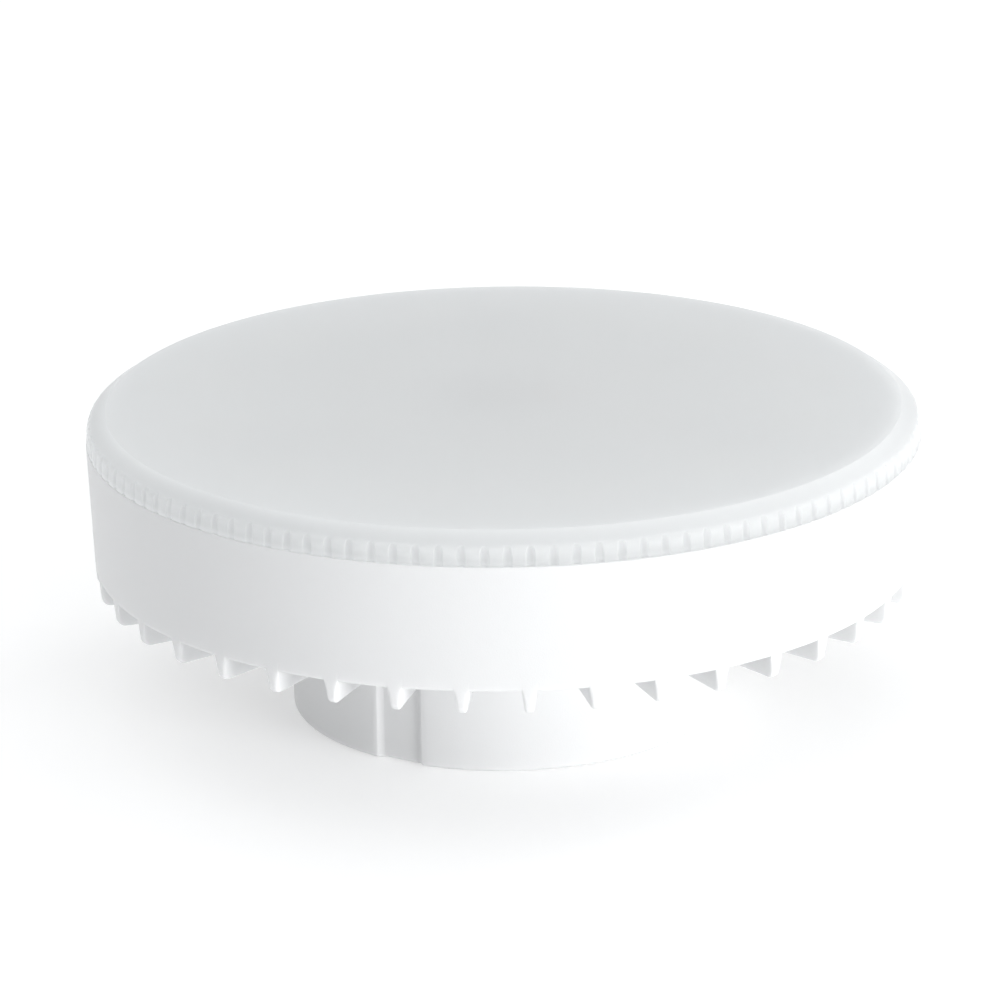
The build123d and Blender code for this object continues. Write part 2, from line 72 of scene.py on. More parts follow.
nodes = frame["nodes"]
print("parts:", len(nodes), "height in mm:", round((cad_high.z - cad_low.z) * 1000, 2))

# %% [markdown]
# ## Sizes
#
# Blender works in metres and a lamp maker thinks in millimetres, so every size below is written in
# millimetres and turned into metres only where a point is made. The places where the mouldings meet
# the other parts are read from the solids. Copying such numbers by hand would also work, but then a
# changed housing would no longer fit its finer mesh.

# %% Read the main sizes from the solids
MM = 0.001


def box_mm(node):
    """Lowest and highest corner of a solid part, in millimetres."""
    low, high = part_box(node)
    return Vector(low) / MM, Vector(high) / MM


housing_high = box_mm("housing")[1]
diffuser_low, diffuser_high = box_mm("diffuser")
lamp_radius = housing_high.x
seam_height = housing_high.z
crown_height = diffuser_high.z
pin_low, pin_high = box_mm("contact_pin_right")
pin_radius = (pin_low.x + pin_high.x) / 2
measured = {"seam": seam_height, "crown": crown_height, "pins": pin_radius}
print({name: round(value, 2) for name, value in measured.items()})

# %% [markdown]
# ## The camera
#
# A catalogue picture like this one is taken with a long lens from about half a metre, a little above
# the table. The camera is aimed at a point inside the lamp, then turned by fractions of a degree so
# that the lamp sits in the picture where it does in the photograph. Shifting the lens would do the
# same, but a plain turn keeps every other view honest.

# %% Place the camera
camera_distance = 560.0
camera_elevation = math.radians(19.129)
camera_roll = math.radians(-0.710)
aim_right = math.radians(-0.042)
aim_up = math.radians(0.470)
aim_height = 14.0
sensor_width = 36.0
focal_length = 11.046 * camera_distance * sensor_width / 1000

back = Vector((0, -math.cos(camera_elevation), math.sin(camera_elevation)))
right = Vector((1, 0, 0))
up = back.cross(right)
look = (-back + aim_right * right + aim_up * up).normalized()
side = look.cross(up).normalized()
rise = side.cross(look)
level = Matrix((side, rise, -look)).transposed().to_4x4()
camera = bpy.data.objects.new("camera", bpy.data.cameras.new("camera"))
camera.data.sensor_width = sensor_width
camera.data.lens = focal_length
camera.matrix_world = (
    Matrix.Translation((back * camera_distance + Vector((0, 0, aim_height))) * MM)
    @ level
    @ Matrix.Rotation(camera_roll, 4, "Z")
)
bpy.context.scene.collection.objects.link(camera)
bpy.context.scene.camera = camera
print("lens in mm:", round(focal_length, 1))

# %% [markdown]
# ## The paper
#
# White things are photographed on white paper, lit so well that it turns plain white around them. A
# matt plane that shines a little by itself does the same. Light alone could whiten the paper too,
# but it would burn out the lamp that stands on it.

# %% Lay the paper
paper_size = 6.0
paper_white = 0.92
paper_glow = 0.25
paper_mesh = bpy.data.meshes.new("paper")
paper_corners = [(-1, -1, 0), (1, -1, 0), (1, 1, 0), (-1, 1, 0)]
paper_mesh.from_pydata([Vector(c) * paper_size / 2 for c in paper_corners], [], [(0, 1, 2, 3)])
paper = bpy.data.objects.new("paper", paper_mesh)
bpy.context.scene.collection.objects.link(paper)
paper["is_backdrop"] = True

paper_finish = bpy.data.materials.new("white_paper")
paper_finish.use_nodes = True
paper_shader = paper_finish.node_tree.nodes["Principled BSDF"]
paper_shader.inputs["Base Color"].default_value = (paper_white, paper_white, paper_white, 1)
paper_shader.inputs["Roughness"].default_value = 0.9
paper_shader.inputs["Specular IOR Level"].default_value = 0.1
paper_shader.inputs["Emission Color"].default_value = (1, 1, 1, 1)
paper_shader.inputs["Emission Strength"].default_value = paper_glow
paper.data.materials.append(paper_finish)
print("paper in metres:", paper_size)

# %% [markdown]
# ## The room's light
#
# Most of the light comes from all round, as in a photographer's tent: bright overhead, nothing from
# below, and a little from low on the left, so that the shaded side of the wall stays a light grey.
# A picture of a real room could light the lamp as well. A few steps of arithmetic on the direction
# of the light are used here, because they hold no windows for the cover to mirror.

# %% Light the room
overhead_strength = 1.06
left_strength = 0.29
world = bpy.data.worlds.new("grey_white_room")
world.use_nodes = True
room_light = world.node_tree.nodes["Background"]
room_light.inputs["Color"].default_value = (0.98, 0.99, 1.0, 1)
bpy.context.scene.world = world
bpy.context.scene.view_settings.view_transform = "Standard"


def math_step(tree, operation, first, second, hold=False):
    """One step of arithmetic on sockets or numbers, held between 0 and 1 if that is asked."""
    step = tree.nodes.new("ShaderNodeMath")
    step.operation = operation
    step.use_clamp = hold
    for socket, source in zip(step.inputs, (first, second)):
        if isinstance(source, bpy.types.NodeSocket):
            tree.links.new(source, socket)
        else:
            socket.default_value = source
    return step.outputs[0]


room_tree = world.node_tree
way = room_tree.nodes.new("ShaderNodeTexCoord").outputs["Generated"]
way_parts = room_tree.nodes.new("ShaderNodeSeparateXYZ")
room_tree.links.new(way, way_parts.inputs[0])
rightward, upward = way_parts.outputs["X"], way_parts.outputs["Z"]
height_share = math_step(room_tree, "MULTIPLY", upward, overhead_strength, hold=True)
left_share = math_step(room_tree, "MULTIPLY", rightward, -left_strength, hold=True)
lowness = math_step(room_tree, "SUBTRACT", 1.0, upward, hold=True)
low_share = math_step(room_tree, "MULTIPLY", left_share, lowness, hold=True)
room_strength = math_step(room_tree, "ADD", height_share, low_share, hold=True)
room_tree.links.new(room_strength, room_light.inputs["Strength"])
print("room overhead and from the left:", overhead_strength, left_strength)

# %% [markdown]
# ## The soft lights
#
# A strong soft light hangs low on the right and in front, and gives the wall its change from grey to
# white. A faint one in front reaches under the rim to the hub, and two weak ones behind draw the
# edges. A single large light would be simpler, but it leaves the hub dark. The strong light isn't
# mirrored in anything, because seen from behind it would turn the whole cover white.

# %% Hang the soft lights
light_distance = 1.4


def soft_light(name, azimuth, elevation, width, height, watts):
    """Hang a rectangular soft light that faces the lamp."""
    turn, lift = math.radians(azimuth), math.radians(elevation)
    level_share = math.cos(lift)
    place = Vector((math.sin(turn) * level_share, -math.cos(turn) * level_share, math.sin(lift)))
    light = bpy.data.lights.new(name, "AREA")
    light.shape = "RECTANGLE"
    light.size = width
    light.size_y = height
    light.energy = watts
    holder = bpy.data.objects.new(name, light)
    holder.location = place * light_distance + Vector((0, 0, aim_height * MM))
    holder.rotation_mode = "QUATERNION"
    holder.rotation_quaternion = place.to_track_quat("Z", "Y")
    bpy.context.scene.collection.objects.link(holder)
    print(name, "at", [round(v, 2) for v in holder.location])
    return holder


side_light = soft_light("side_light", azimuth=50, elevation=7, width=0.8, height=0.3, watts=14.4)
side_light.visible_glossy = False
soft_light("front_light", azimuth=12, elevation=4, width=0.7, height=0.2, watts=1.5)
soft_light("back_light", azimuth=125, elevation=25, width=0.6, height=0.5, watts=2.8)
soft_light("rim_light", azimuth=212, elevation=28, width=0.7, height=0.5, watts=1.5)

# %% [markdown]
# ## Building turned mouldings ring by ring
#
# Both outer mouldings are round, with something repeated around them: flutes in the cover, fins under
# the housing. A modeller could turn a profile with the Screw modifier and cut or add the repeats with
# booleans. Here each mesh is made ring by ring instead: every ring has the same number of points,
# and its points may lie further in or further down where there is a flute or a fin. The result is one
# closed skin of four-sided faces with small even roundings, and nothing has to be cut.


# %% Helpers for rings of points
def ring_point(radius, angle, height):
    """A point in metres from a radius and a height in millimetres and an angle."""
    return Vector((radius * math.cos(angle), radius * math.sin(angle), height)) * MM


def add_ring(mesh, points):
    """Put a ring of points into the mesh."""
    return [mesh.verts.new(point) for point in points]


def join_rings(mesh, first, second):
    """Close the band between two rings of as many points."""
    for number in range(len(first)):
        after = (number + 1) % len(first)
        mesh.faces.new((first[number], first[after], second[after], second[number]))


def join_all(mesh, rings):
    """Close the bands between rings that follow each other."""
    for first, second in zip(rings, rings[1:]):
        join_rings(mesh, first, second)


def cap_ring(mesh, ring, height):
    """Close a ring with a fan of faces to a point on the axis."""
    middle = mesh.verts.new((0, 0, height * MM))
    for number in range(len(ring)):
        mesh.faces.new((ring[number], ring[(number + 1) % len(ring)], middle))


def zip_rings(mesh, first, second):
    """Close the band between two rings of different numbers of points, both in order of angle."""
    turn = [[math.atan2(v.co.y, v.co.x) % math.tau for v in ring] for ring in (first, second)]
    starts = [min(range(len(t)), key=t.__getitem__) for t in turn]
    rings = [ring[s:] + ring[:s] for ring, s in zip((first, second), starts)]
    turns = [sorted(t) for t in turn]
    here = [0, 0]
    while here[0] < len(first) or here[1] < len(second):
        ahead = [
            turns[k][here[k] + 1] if here[k] + 1 < len(turns[k]) else math.tau + turns[k][0]
            for k in (0, 1)
        ]
        step = 0 if here[1] >= len(second) or (here[0] < len(first) and ahead[0] <= ahead[1]) else 1
        corner = [rings[k][here[k] % len(rings[k])] for k in (0, 1)]
        following = rings[step][(here[step] + 1) % len(rings[step])]
        mesh.faces.new((corner[0], corner[1], following))
        here[step] += 1


def finish_piece(mesh, name, sharp_degrees, crisp_rings=()):
    """Turn a finished skin into an object with smooth faces, crisp corners and crisp rings."""
    bmesh.ops.recalc_face_normals(mesh, faces=mesh.faces)
    limit = math.radians(sharp_degrees)
    for edge in mesh.edges:
        edge.smooth = len(edge.link_faces) == 2 and edge.calc_face_angle() < limit
    for ring in crisp_rings:
        for number, corner in enumerate(ring):
            edge = mesh.edges.get((corner, ring[(number + 1) % len(ring)]))
            edge.smooth = False
    for face in mesh.faces:
        face.smooth = True
    data = bpy.data.meshes.new(name)
    mesh.to_mesh(data)
    mesh.free()
    piece = bpy.data.objects.new(name, data)
    bpy.context.scene.collection.objects.link(piece)
    print(name, "triangles:", sum(len(face.vertices) - 2 for face in data.polygons))
    return piece


def arc_points(middle, radius, start, end, steps):
    """Points (radius, height) on an arc about a middle, from one angle in degrees to another."""
    turns = [math.radians(start + (end - start) * k / steps) for k in range(steps + 1)]
    return [(middle[0] + radius * math.cos(t), middle[1] + radius * math.sin(t)) for t in turns]


def bend_point(start, corner, end, share):
    """A point on the soft bend that leaves start, leans on a corner and arrives at end."""
    parts = ((1 - share) ** 2, 2 * share * (1 - share), share ** 2)
    return tuple(sum(p * q for p, q in zip(parts, axis)) for axis in zip(start, corner, end))


# %% [markdown]
# ## The opal cover
#
# The cover is moulded in one piece: a shallow dome, a slanting facet that meets the dome in a fine
# crease, a soft bend, and a band with 120 upright flutes to hold it by while it is pushed into the
# holder. The flutes are hollows as a round cutter leaves them, a little shallower toward the foot, so
# that the moulding leaves its tool. Each one runs out through the slanting facet and ends there in a
# small pointed arch.
#
# The arch is the place where a displaced or sculpted surface would go soft. Here every column of the
# mesh knows its own depth, works out how high its hollow reaches into the rounding, and puts its
# points there. The lines of the mesh then follow the arches exactly.

# %% Shape of the cover's edge, dome and flutes
flute_count = 120
flute_angle = math.radians(-89.7)
flute_radius = 0.40
flute_depth = 0.33
flute_draft = 0.55
lip_reach = 0.05
cover_radius = lamp_radius - 0.06
crease_radius = cover_radius - 1.72
crease_height = seam_height + 2.77
facet_radius = cover_radius - 0.38
facet_height = seam_height + 1.83
band_height = seam_height + 0.86
facet_slope = (crease_height - facet_height) / (facet_radius - crease_radius)
bend_height = facet_height - facet_slope * (cover_radius - facet_radius)
dome_rise = crown_height - crease_height
dome_sphere = (crease_radius ** 2 + dome_rise ** 2) / (2 * dome_rise)
print("facet leans", round(math.degrees(math.atan(facet_slope)), 1), "degrees from level")


def dome_at(radius, drop=0.0):
    """Height of the dome at a distance from the axis, or of a dome that lies lower by a drop."""
    return crown_height - dome_sphere + math.sqrt(dome_sphere ** 2 - radius ** 2) - drop


def hollow_at(offset):
    """Depth of a flute at a distance from its middle."""
    return math.sqrt(flute_radius ** 2 - offset ** 2) - flute_radius + flute_depth


flute_half = math.sqrt(flute_radius ** 2 - (flute_radius - flute_depth) ** 2)
lip_start = (flute_half - lip_reach, hollow_at(flute_half - lip_reach))
flute_section = [(offset, hollow_at(offset)) for offset in (0.0, 0.13, 0.23, 0.31)]
flute_section.append(lip_start)
for share in (0.25, 0.5, 0.75, 1.0):
    flute_section.append(bend_point(lip_start, (flute_half, 0.0), (flute_half + lip_reach, 0.0), share))
print("half width of a flute:", round(flute_half, 3), "points across half:", len(flute_section))

# %% [markdown]
# The cover has two sets of columns. The fluted band needs many, placed on the curve of each flute,
# and the plain dome and skirt get by with evenly spaced ones. One set for both would be simpler to
# join, but it would carry the flutes' fine columns all over the dome.

# %% Columns round the cover
plain_count = 480
flute_pitch = math.tau / flute_count
flute_columns = []
for flute in range(flute_count):
    middle = flute_angle + flute * flute_pitch
    for offset, depth in flute_section[::-1]:
        flute_columns.append((middle - offset / cover_radius, depth))
    for offset, depth in flute_section[1:]:
        flute_columns.append((middle + offset / cover_radius, depth))
plain_columns = [math.tau * k / plain_count for k in range(plain_count)]
print("columns:", len(flute_columns), "and", len(plain_columns))

# %% [markdown]
# From the crease down, each column first follows the facet and the bend as far as its own hollow
# allows, then turns over a soft lip and runs straight down. At the foot, the cover sits on the
# housing's rim. The flutes are open below, so a little of the rim shows in each of them and draws
# the faint dashes of the seam.

# %% Rings of the fluted band
cover_foot = seam_height + 0.02
seat_radius = cover_radius - flute_depth - 0.3
edge_steps = 11
edge_crowding = 1.6


def edge_height(radius):
    """Height of the cover's facet or bend at a radius."""
    if radius <= facet_radius:
        return crease_height - facet_slope * (radius - crease_radius)
    share = 1 - math.sqrt((cover_radius - radius) / (cover_radius - facet_radius))
    corner, end = (cover_radius, bend_height), (cover_radius, band_height)
    return bend_point((facet_radius, facet_height), corner, end, share)[1]


def column_profile(depth):
    """Radius and height of each point of one column, from the crease down to the foot."""
    radius = cover_radius - depth
    lip_radius = radius - min(0.01 + depth, lip_reach)
    upper = []
    for step in range(edge_steps + 1):
        place = lip_radius - (lip_radius - crease_radius) * (1 - step / edge_steps) ** edge_crowding
        upper.append((place, edge_height(place)))
    arch_height = edge_height(radius)
    lip_end = (radius, arch_height - lip_reach)
    lip = [bend_point(upper[-1], (radius, arch_height), lip_end, k / 3) for k in (1, 2, 3)]
    lowest = cover_foot + 0.08
    shallow = depth * flute_draft
    side = [(radius + shallow * k / 3, lip_end[1] + (lowest - lip_end[1]) * k / 3) for k in (1, 2, 3)]
    return upper + lip + side + [(radius + shallow, cover_foot), (seat_radius, cover_foot)]


cover_mesh = bmesh.new()
profiles = [column_profile(depth) for angle, depth in flute_columns]
band_rings = []
for row in range(len(profiles[0])):
    points = [ring_point(*(p[row][0], c[0], p[row][1])) for p, c in zip(profiles, flute_columns)]
    band_rings.append(add_ring(cover_mesh, points))
join_all(cover_mesh, band_rings)
print("rings of the band:", len(band_rings))

# %% [markdown]
# The dome above and the snap skirt below are plain, so their rings need far fewer points. A zip of
# three-sided faces joins them to the fine band. The skirt with its small bead snaps into a groove in
# the housing. It closes the skin, so the mesh has a true wall thickness and isn't a paper-thin
# shell, which matters for light that soaks into it.

# %% Dome above and snap skirt below
wall = 1.6
snap_radius = 35.75
snap_inner = 34.35
snap_foot = diffuser_low.z
bead = 0.3
bead_height = snap_foot + bead + 0.55


def cover_ring(radius, height):
    """A plain ring of the cover."""
    return add_ring(cover_mesh, [ring_point(radius, angle, height) for angle in plain_columns])


dome_radii = [35.5, 35.1, 34.4, 33.2, 31.5, 29, 26, 22, 18, 14, 10, 6, 3]
dome_rings = [cover_ring(r, dome_at(r)) for r in dome_radii]
skirt_profile = [
    (seat_radius - 0.1, seam_height + 0.01),
    (snap_radius, seam_height),
    (snap_radius, bead_height + bead),
    (snap_radius + bead, bead_height),
    (snap_radius, bead_height - bead),
    (snap_radius, snap_foot + 0.15),
    (snap_radius - 0.15, snap_foot),
    (snap_inner + 0.15, snap_foot),
    (snap_inner, snap_foot + 0.15),
]
inner_middle = (snap_inner - 1.0, crease_height - wall - 1.0)
skirt_profile += arc_points(inner_middle, 1.0, 0, 85, 5)
skirt_profile += [(r, dome_at(r, wall)) for r in (30, 24, 16, 8)]
skirt_rings = [cover_ring(r, h) for r, h in skirt_profile]
join_all(cover_mesh, dome_rings)
join_all(cover_mesh, skirt_rings)
zip_rings(cover_mesh, band_rings[0], dome_rings[0])
zip_rings(cover_mesh, band_rings[-1], skirt_rings[0])
cap_ring(cover_mesh, dome_rings[-1], crown_height)
cap_ring(cover_mesh, skirt_rings[-1], crown_height - wall)
cover = finish_piece(cover_mesh, "opal_cover", 50, (band_rings[0],))
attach(cover, "root")
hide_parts("diffuser")

# %% [markdown]
# ## The finned housing
#
# The housing is one white moulding. Its wall leans in by two and a half degrees so that it leaves
# the mould, and forty fins carry that wall on down below the base plate. Each fin is thicker at its
# root than at its edge, again for the mould, and all its free edges are rounded. The rings run
# down the wall, round each fin's outline where there is a fin, and across the flat base where there
# is none. The faces between the two are the fin's sides, so wall, fins and base are one skin.

# %% Shape of the wall and the fins
fin_count = 40
fin_angle = math.radians(-87.0)
fin_pitch = math.tau / fin_count
skirt_height = 14.1
tip_height = skirt_height - 2.15
wall_draft = math.tan(math.radians(2.5))
rim_land = 0.5
fin_root_half = 0.65
fin_tip_half = 0.375
fin_corner = 0.8
fin_inner = 30.56
fin_slope = (fin_root_half - fin_tip_half) / (skirt_height - tip_height)


def wall_at(height):
    """Outer radius of the leaning wall at a height."""
    return lamp_radius - (seam_height - rim_land - height) * wall_draft


def fin_half_at(height):
    """Half the thickness of a fin at a height."""
    return fin_tip_half + fin_slope * (min(height, skirt_height) - tip_height)


# %% [markdown]
# A column on a fin is given by its share of the fin's half thickness and by how far it is drawn in
# from the fin's outline, which rounds the edges. A column in the slot beside it is given by its
# share of the slot.

# %% Columns of one fin and one slot
fin_shares = ((0.0, 0.0), (0.42, 0.0), (0.62, 0.015), (0.8, 0.06), (0.93, 0.135), (0.99, 0.22))
slot_shares = (0.0, 0.05, 0.3, 0.65, 1.0)
housing_columns = []
for fin in range(fin_count):
    middle = fin_angle + fin * fin_pitch
    housing_columns += [(middle, -1, None, share) for share in slot_shares[-2::-1]]
    housing_columns += [(middle, -1, share, draw) for share, draw in fin_shares[:0:-1]]
    housing_columns += [(middle, 1, share, draw) for share, draw in fin_shares]
    housing_columns += [(middle, 1, None, share) for share in slot_shares]


def column_angle(column, radius, height):
    """Angle of a column at a radius: fins have parallel sides, so it changes with the radius."""
    middle, hand, on_fin, in_slot = column
    if on_fin is not None:
        return middle + hand * math.asin(on_fin * fin_half_at(height) / radius)
    root = math.asin(fin_root_half / radius)
    return middle + hand * (root + in_slot * (fin_pitch / 2 - root))


print("columns round the housing:", len(housing_columns))

# %% [markdown]
# Each step down the rings has two places: one on the fin's outline, with the direction in which the
# edge columns are drawn in, and one on the flat base. Fin columns take the first and slot columns
# the second.

# %% Outline of a fin and the base beside it
skirt_round = 0.3
fin_outline = []
slot_outline = []
skirt_middle = (wall_at(skirt_height) - skirt_round, skirt_height + skirt_round)
skirt_arc = arc_points(skirt_middle, skirt_round, 0, -90, 5)
for number, slot_place in enumerate(skirt_arc):
    height = skirt_height + skirt_round - number * 0.22
    fin_outline.append((wall_at(height), height, -number / 5, 0.0))
    slot_outline.append(slot_place)
corner_middle = (wall_at(tip_height) - fin_corner, tip_height + fin_corner)
corner_arc = arc_points(corner_middle, fin_corner, 0, -90, 8)
corner_slots = [36.0, 35.7, 35.4, 35.1, 34.8, 34.5, 34.2, 33.9, 33.6]
for number, (place, inner) in enumerate(zip(corner_arc, corner_slots)):
    lean = math.radians(90 * number / 8)
    fin_outline.append((*place, -math.cos(lean), math.sin(lean)))
    slot_outline.append((inner, skirt_height))
end_points = [(34.0, tip_height, 0, 1), (32.2, tip_height, 0, 1), (31.6, tip_height, 0.3, 1)]
end_points += [(31.4, tip_height + 0.08, 0.7, 0.7), (31.27, tip_height + 0.32, 1, 0.35)]
end_points += [(fin_inner + 0.1, skirt_height - 0.27, 0.5, 0.1)]
for place, inner in zip(end_points, (33.0, 32.2, 31.6, 31.3, 31.0, 30.7)):
    fin_outline.append(place)
    slot_outline.append((inner, skirt_height))
fin_outline.append((fin_inner, skirt_height, 0, 0))
slot_outline.append((fin_inner, skirt_height))

# %% [markdown]
# The inside of the housing is turned round as well: hub, base plate, wall and the groove for the
# cover's bead. Its rings use the fins' columns too, so the whole moulding is one stack of rings from
# the bottom of the hub's inside, over the rim, down the wall and round the fins.

# %% Rings of the wall, the fins and the inside
housing_mesh = bmesh.new()


def housing_ring(radius, height):
    """A plain ring of the housing."""
    places = [column_angle(column, max(radius, 30), skirt_height) for column in housing_columns]
    return add_ring(housing_mesh, [ring_point(radius, angle, height) for angle in places])


def fin_ring(fin_place, slot_place):
    """A ring that follows the fin's outline on the fins and the base in the slots."""
    points = []
    for column in housing_columns:
        if column[2] is None:
            radius, height = slot_place
        else:
            radius = fin_place[0] + column[3] * fin_place[2]
            height = fin_place[1] + column[3] * fin_place[3]
        points.append(ring_point(radius, column_angle(column, radius, height), height))
    return add_ring(housing_mesh, points)


rim_round = 0.12
base_thickness = 1.6
wall_thickness = 1.6
base_top = skirt_height + base_thickness
rim_inner = lamp_radius - wall_thickness
hub_radius = 19.4
hub_inner = 17.9
hub_floor = 1.6
groove_depth = 0.38
rim_arc = arc_points((lamp_radius - rim_round, seam_height - rim_round), rim_round, 90, 0, 4)
inside_profile = [
    (hub_inner - 0.5, hub_floor),
    (hub_inner, hub_floor + 0.5),
    (hub_inner, base_top - 0.3),
    (hub_inner + 0.3, base_top),
    (wall_at(base_top) - wall_thickness - 0.4, base_top),
    (wall_at(base_top) - wall_thickness, base_top + 0.4),
    (rim_inner, 22.0),
    (rim_inner, bead_height - groove_depth),
    (rim_inner + groove_depth, bead_height),
    (rim_inner, bead_height + groove_depth),
    (rim_inner, seam_height - 0.15),
    (rim_inner + 0.15, seam_height),
]
wall_heights = [25.0, 24.0, 22.0, 20.0, 18.0, 16.0, 15.0]
housing_rings = [housing_ring(r, h) for r, h in inside_profile + rim_arc]
housing_rings += [housing_ring(wall_at(h), h) for h in wall_heights]
housing_rings += [fin_ring(f, s) for f, s in zip(fin_outline, slot_outline)]
housing_rings.append(housing_ring(fin_inner - 0.6, skirt_height))
join_all(housing_mesh, housing_rings)
cap_ring(housing_mesh, housing_rings[0], hub_floor)
print("rings of the wall and fins:", len(housing_rings))

# %% [markdown]
# ## The hub and its keyways
#
# The hub holds the power supply and passes through the middle of the holder. Two shallow grooves run
# down its side. The hub's rings use their own columns, placed exactly on the grooves' edges, and a
# zip of three-sided faces joins them to the wider rings of the base. Lining up one set of columns
# with both the fins and the grooves would also work, but it would need many more of them.

# %% Make the hub
keyway_angle = math.radians(-119.9)
# Across half a keyway: the distance from its middle and the depth there.
keyway_section = (
    (0.0, 0.5), (1.2, 0.5), (1.72, 0.5), (1.83, 0.47), (2.18, 0.12), (2.26, 0.03), (2.36, 0.0),
)
hub_columns = []
for turn in (0, math.pi):
    middle = keyway_angle + turn
    for offset, depth in keyway_section[::-1]:
        hub_columns.append((middle - offset / hub_radius, depth))
    for offset, depth in keyway_section[1:]:
        hub_columns.append((middle + offset / hub_radius, depth))
    free_turn = math.pi - 2 * keyway_section[-1][0] / hub_radius
    steps = 110
    for step in range(1, steps):
        angle = middle + keyway_section[-1][0] / hub_radius + free_turn * step / steps
        hub_columns.append((angle, 0.0))


def hub_ring(radius, height, keyed=1.0):
    """A ring of the hub, with the keyways pressed into it."""
    points = [ring_point(radius - keyed * depth, angle, height) for angle, depth in hub_columns]
    return add_ring(housing_mesh, points)


hub_edge = 0.5
root_round = 0.25
hub_profile = [(hub_radius + 1.2, skirt_height), (hub_radius + 0.35, skirt_height)]
root_middle = (hub_radius + root_round, skirt_height - root_round)
hub_profile += arc_points(root_middle, root_round, 90, 180, 4)
hub_profile += [(hub_radius, h) for h in (12.0, 9.0, 6.0, 3.0, 1.2)]
hub_profile += arc_points((hub_radius - hub_edge, hub_edge), hub_edge, 0, -90, 6)
hub_profile += [(hub_radius - 0.9, 0.0), (hub_radius - 3.0, 0.0), (10.0, 0.0)]
hub_rings = []
for number, (r, h) in enumerate(hub_profile):
    is_side = 2 <= number < len(hub_profile) - 2
    hub_rings.append(hub_ring(r, h, 1.0 if is_side else 0.0))
join_all(housing_mesh, hub_rings)
cap_ring(housing_mesh, hub_rings[-1], 0.0)
zip_rings(housing_mesh, housing_rings[-1], hub_rings[0])
housing = finish_piece(housing_mesh, "finned_housing", 32)

# %% [markdown]
# ## Bosses, rests and holes
#
# Inside the housing stand three bosses for the screws of the light board and four rests for the
# driver board, and the base has a hole for each contact pin. They don't repeat in step with the fins,
# so they are the one place where a boolean is the easier way: whole posts and blocks are added to
# the moulding, then plain cylinders are cut away.

# %% Add the bosses and rests, then cut the holes
boss_width, screw_hole, screw_hole_depth, pin_hole = 6.0, 2.9, 4.6, 3.1
rest_length, rest_width = 2.65, 2.4
screws_high = box_mm("board_screws")[1]
screw_radius = screws_high.y - 2.8
boss_top = box_mm("heat_spreader")[1].z - 1.2
board_low = box_mm("driver_board")[0].z


def add_post(mesh, radius, angle, thickness, bottom, top):
    """Put an upright round post at a radius and angle into a mesh of tools."""
    place = Matrix.Translation(ring_point(radius, angle, (bottom + top) / 2))
    half = thickness / 2 * MM
    size = {"radius1": half, "radius2": half, "depth": (top - bottom) * MM}
    bmesh.ops.create_cone(mesh, cap_ends=True, segments=64, matrix=place, **size)


def combine(piece, tool_mesh, operation):
    """Add a mesh of tools to a piece or cut it away, and keep the result as the piece's mesh."""
    data = bpy.data.meshes.new("tools")
    tool_mesh.to_mesh(data)
    tool_mesh.free()
    tools = bpy.data.objects.new("tools", data)
    bpy.context.scene.collection.objects.link(tools)
    change = piece.modifiers.new("change", "BOOLEAN")
    change.operation = operation
    change.solver = "EXACT"
    change.object = tools
    ready = piece.evaluated_get(bpy.context.evaluated_depsgraph_get())
    result = bpy.data.meshes.new_from_object(ready)
    piece.modifiers.clear()
    piece.data = result
    bpy.data.objects.remove(tools)
    print(operation, "leaves", len(result.polygons), "faces")


posts = bmesh.new()
holes = bmesh.new()
for number in range(3):
    angle = math.radians(90 + 120 * number)
    add_post(posts, screw_radius, angle, boss_width, base_top - 0.4, boss_top)
    add_post(holes, screw_radius, angle, screw_hole, boss_top - screw_hole_depth, boss_top + 1.0)
for number in range(4):
    angle = math.radians(45 + 90 * number)
    place = ring_point(hub_inner - 1.9 + rest_length / 2, angle, (hub_floor - 0.3 + board_low) / 2)
    size = Vector((rest_length, rest_width, board_low - hub_floor + 0.3)) * MM
    block = Matrix.Translation(place) @ Matrix.Rotation(angle, 4, "Z") @ Matrix.Diagonal((*size, 1))
    bmesh.ops.create_cube(posts, size=1, matrix=block)
for angle in (0, math.pi):
    add_post(holes, pin_radius, angle, pin_hole, skirt_height - 1.0, base_top + 1.0)
combine(housing, posts, "UNION")
combine(housing, holes, "DIFFERENCE")
housing.data.shade_smooth()
housing.data.set_sharp_from_angle(angle=math.radians(32))
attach(housing, "root")
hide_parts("housing")

# %% [markdown]
# ## Finishes
#
# Every finish below is a Principled shader fed by noise. Even the cleanest moulding has a fine grain
# from its steel tool, a roughness that wanders a little, and a colour that is not quite even, and
# those three are what separates a plastic from a flat fill. Drawn metal and turned metal get the same
# noise stretched along the direction in which they were worked. A picture of a surface could do it
# too, but noise has no seams and no resolution.


